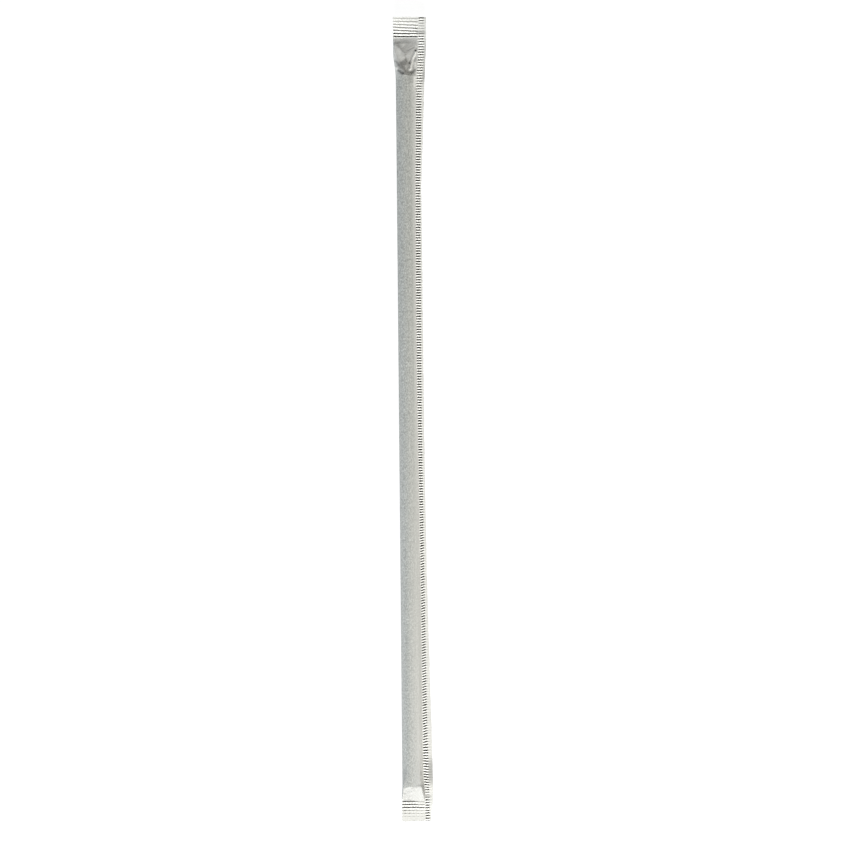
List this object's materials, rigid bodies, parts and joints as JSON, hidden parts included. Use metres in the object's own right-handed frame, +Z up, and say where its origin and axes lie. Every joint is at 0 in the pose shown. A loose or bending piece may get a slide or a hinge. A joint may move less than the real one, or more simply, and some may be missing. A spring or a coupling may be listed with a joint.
{
  "type": "wrapped drinking straw",
  "caption": "Straight drinking straw sealed in a thin paper wrapper with a crimped side seam and a ribbed flat seal across each end.",
  "frame": {"origin": "on the table, under the middle of the whole wrapped straw", "axes": "+Y along the straw towards the end with the slack sleeve, +X across towards the side seam, +Z up"},
  "size_m": [0.0122, 0.294, 0.0056],
  "materials": {
    "wrapper_paper": "thin uncoated white paper, slightly see-through",
    "straw_plastic": "smooth black plastic"
  },
  "bodies": {
    "root": {"paper_wrapper": "wrapper_paper", "drinking_straw": "straw_plastic"}
  },
  "joints": []
}
